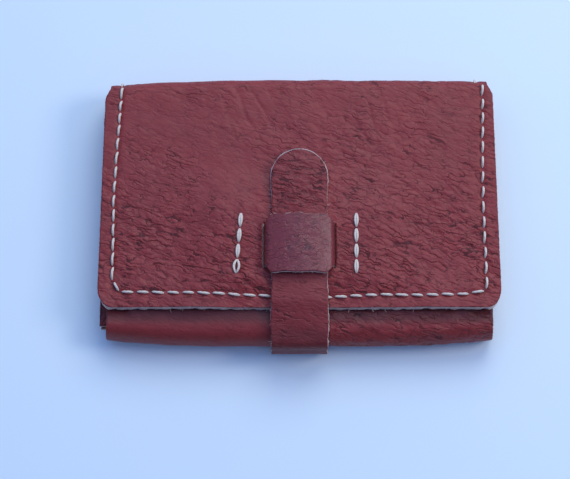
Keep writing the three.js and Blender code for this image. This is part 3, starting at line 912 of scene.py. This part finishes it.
def saddle_stitch(piece, place, start, end, radius=thread_radius, rise=0.2, bow=0.12, twist=0.35,
                  fullness=0.6, through=0.0):
    """One stitch between two places of a lay, two plies lying nearly side by side. It rises so
    far off the leather and bows so far aside. With a thickness to go through, it is the stitch
    on the flesh side."""
    t = np.linspace(0, 1, 15)
    start, end = np.array(start), np.array(end)
    along = (end - start) / np.linalg.norm(end - start)
    aside = np.array([-along[1], along[0]])
    swell = np.sin(np.pi * t) ** fullness
    flat = start + (end - start) * t[:, None] + aside * (bow * np.sin(np.pi * t))[:, None]
    depth = 0.5 - (0.5 + rise + radius * 0.3) * swell
    if through:
        depth = through - depth
    centre = place(flat[:, 0], flat[:, 1], depth)
    above = place(flat[:, 0], flat[:, 1], depth - 1) - centre
    above /= np.linalg.norm(above, axis=1)[:, None]
    beside = np.cross(np.gradient(centre, axis=0), above)
    beside /= np.linalg.norm(beside, axis=1)[:, None]
    angle = 0.5 + 2 * math.pi * twist * t
    reach = radius * 0.34 * swell
    for phase in (0, math.pi):
        turn = np.cos(angle + phase)[:, None] * beside + np.sin(angle + phase)[:, None] * above * 0.5
        strand(piece, centre + turn * reach[:, None], radius * (0.16 + 0.5 * swell))


def row_of_stitches(piece, place, route, step=pitch, fill=0.8, lean=0.14, seed=1, **shape):
    """Stitches along a route of lay points, one for each step, leaning a little across it."""
    route = np.asarray(route, float)
    lengths = np.r_[0, np.cumsum(np.linalg.norm(np.diff(route, axis=0), axis=1))]
    count = max(1, round(lengths[-1] / step))
    chance = random.Random(seed)
    for i in range(count):
        middle = (i + 0.5) * lengths[-1] / count
        half = fill * lengths[-1] / count / 2 * chance.uniform(0.94, 1.06)
        holes = (middle - half, middle + half)
        ends = [[np.interp(hole, lengths, route[:, k]) for k in (0, 1)] for hole in holes]
        run = np.array(ends[1]) - ends[0]
        aside = np.array([-run[1], run[0]]) / np.linalg.norm(run) * lean * chance.uniform(0.4, 1.3)
        bow = chance.uniform(0.04, 0.2)
        saddle_stitch(piece, place, ends[0] - aside, ends[1] + aside, bow=bow, **shape)


def waxed_linen(name, light, dark):
    """Waxed linen thread: cream, softly shining, with fine fibres lying along the twist."""
    material, tree = empty_material(name)
    lay = node(tree, "UVMap", uv_map="lay").outputs["UV"]
    stretched = node(tree, "Mapping", {"Vector": lay, "Scale": (6, 1.2, 1)})
    fibre = node(tree, "TexNoise", {"Vector": stretched.outputs["Vector"], "Scale": 1.6, "Detail": 3.0})
    wear = node(tree, "MapRange", {"Value": fibre.outputs["Fac"], "From Min": 0.3, "From Max": 0.6})
    colours = {"Fac": wear.outputs["Result"], "Color1": linear(dark), "Color2": linear(light)}
    colour = node(tree, "MixRGB", colours)
    bump = node(tree, "Bump", {"Height": fibre.outputs["Fac"], "Strength": 0.5, "Distance": 0.00008})
    skin = node(tree, "BsdfPrincipled", {
        "Base Color": colour.outputs["Color"], "Normal": bump.outputs["Normal"], "Roughness": 0.55,
        "Sheen Weight": 0.2,
    })
    node(tree, "OutputMaterial", {"Surface": skin.outputs["BSDF"]})
    return material


cream_linen = waxed_linen("waxed_cream_linen", "#f6deca", "#c8ab96")


def finish_row(piece, name, body, node_name):
    made = piece.make(name, [cream_linen])
    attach(made, body)
    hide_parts(node_name)


# The flap's border: down the left side, along the mouth and up the right side, and the same
# row again on the flesh side.
border_end = hide.length - 7.0
down = np.linspace(flap_hinge + 0.4, border_end, 30)
left_side = [(float(side_row_x(s, -1)), s) for s in down]
right_side = [(float(side_row_x(s, 1)), s) for s in np.linspace(flap_hinge + 0.4, mouth_row_s(47.5), 30)]
left_corner = (-46.0, float(mouth_row_s(-46)))
corner_row = [(left_side[-1][0] + 0.1, border_end + 0.1), left_corner]
mouth_row = [(x, float(mouth_row_s(x))) for x in np.linspace(-46, 47.6, 40)]
border = Piece()
for under in (0.0, leather):
    row_of_stitches(border, on_hide, left_side, seed=2, through=under, fill=0.88)
    row_of_stitches(border, on_hide, corner_row, step=3.0, seed=3, through=under)
    row_of_stitches(border, on_hide, mouth_row, seed=4, through=under)
    row_of_stitches(border, on_hide, right_side[::-1], seed=5, through=under)
finish_row(border, "flap_border_stitches", "flap", "flap_border_thread")

# Side seams, on the pocket front, on the back and over the spine.
front_seam = [(seam_x, 2.6), (seam_x, mouth_y - flap_mouth_y - 1.4)]
back_seam = [(seam_x, back_start + gusset_foot - roll_y + 2.6), (seam_x, spine_hinge - 0.2)]
spine_seam = [(seam_x, s) for s in np.linspace(spine_hinge + 0.2, flap_hinge - 0.2, 8)]
seams = (
    ("front_seam", front_seam, "case_body"),
    ("back_seam", back_seam, "case_body"),
    ("spine", spine_seam, "spine"),
)
for word, sign in (("left", -1), ("right", 1)):
    for label, route, body in seams:
        seam = Piece()
        rise = 0.0 if label == "spine" else 0.2
        sided = [(sign * x, s) for x, s in route]
        row_of_stitches(seam, on_hide, sided, seed=len(label) + sign, rise=rise)
        finish_row(seam, f"{word}_{label}_stitches", body, f"{word}_{label}_thread")

# The two tacks that hold the keeper's ends, four doubled stitches each. The last one on the
# left was not pulled tight, and stands open.
tack_top, tack_foot = slot_at - 8.9, slot_at + 7.5
for word, top_x, foot_x, node_name in (
    ("left", -15.0, -16.3, "left_keeper_tack"),
    ("right", 14.7, 14.6, "right_keeper_tack"),
):
    tack = Piece()
    for i in range(4):
        shares = (i + 0.04) / 4, (i + 0.98) / 4
        ends = [(top_x + (foot_x - top_x) * t, tack_top + (tack_foot - tack_top) * t) for t in shares]
        opened = 0.66 if word == "left" and i == 3 else 0.27
        for bow, lift in ((opened, 0.2), (-opened, 0.28)):
            for under in (0.0, leather + keeper_leather):
                saddle_stitch(tack, on_hide, ends[0], ends[1], radius=tack_radius, rise=lift, bow=bow,
                              twist=0.1, fullness=0.36, through=under)
    finish_row(tack, f"{word}_tack_stitches", "flap", node_name)

# The row that sews the strap's tail to the back.
anchor_x = strap_half - 3.4
anchor_end = strap.length - 3.4
anchor_length = 18
anchor_route = [(-anchor_x, anchor_end - anchor_length), (-anchor_x, anchor_end - 0.5)]
anchor_route += [(-anchor_x + 0.8, anchor_end)]
anchor = Piece()
anchor_route += [(-x, s) for x, s in anchor_route[::-1]]
row_of_stitches(anchor, on_strap, anchor_route, step=3.8, seed=9)
finish_row(anchor, "strap_anchor_stitches", "case_body", "strap_anchor_thread")

# ---------------------------------------------------------------------------
# The table and the daylight
# A plain pale sheet of matt board under a cool sky, with a large soft window beyond the fold
# and a smaller one at the right.
# ---------------------------------------------------------------------------
paper, tree = empty_material("plain_pale_board")
skin = node(tree, "BsdfPrincipled", {"Base Color": linear("#eff1f3"), "Roughness": 0.8})
node(tree, "OutputMaterial", {"Surface": skin.outputs["BSDF"]})
bpy.ops.mesh.primitive_plane_add(size=6, location=(0, 0, -0.0001))
board = bpy.context.object
board.name = "board"
board.data.materials.append(paper)


def soft_window(name, place, size, power, colour):
    lamp = bpy.data.lights.new(name, "AREA")
    lamp.shape = "DISK"
    lamp.size = size
    lamp.energy = power
    lamp.color = linear(colour)[:3]
    made = bpy.data.objects.new(name, lamp)
    bpy.context.scene.collection.objects.link(made)
    made.location = place
    made.rotation_euler = (Vector((0, 0, 0)) - Vector(place)).to_track_quat("-Z", "Y").to_euler()


soft_window("window", (0.14, 0.46, 0.52), 0.5, 1.9, "#f2fff2")
soft_window("side_window", (0.48, 0.05, 0.46), 0.26, 1.05, "#fafff8")

sky = bpy.data.worlds.new("cool_sky")
sky.use_nodes = True
bpy.context.scene.world = sky
background = sky.node_tree.nodes["Background"]
toward = node(sky.node_tree, "TexCoord").outputs["Generated"]
lit = node(sky.node_tree, "VectorMath", {0: toward, 1: (0.12, 0.5, 0.86)}, operation="DOT_PRODUCT")
glow = node(sky.node_tree, "MapRange", {"Value": lit.outputs["Value"], "From Min": -0.15,
                                        "From Max": 1.0, "To Min": 0.05, "To Max": 1.28})
background.inputs["Color"].default_value = linear("#93bbff")
sky.node_tree.links.new(glow.outputs["Result"], background.inputs["Strength"])
bpy.context.scene.view_settings.view_transform = "Standard"

camera_data = bpy.data.cameras.new("camera")
camera = bpy.data.objects.new("camera", camera_data)
bpy.context.scene.collection.objects.link(camera)
bpy.context.scene.camera = camera
camera_tilt = math.radians(14.2)
camera_distance = 0.53
frame_width = 0.1476
aim = Vector((-0.0037, -0.00743, 0.010))
away = Vector((0, -math.sin(camera_tilt), math.cos(camera_tilt)))
camera.location = aim + away * camera_distance
camera.rotation_euler = (-away).to_track_quat("-Z", "Y").to_euler()
camera_data.lens = camera_data.sensor_width * camera_distance / frame_width
camera_data.clip_start = 0.01
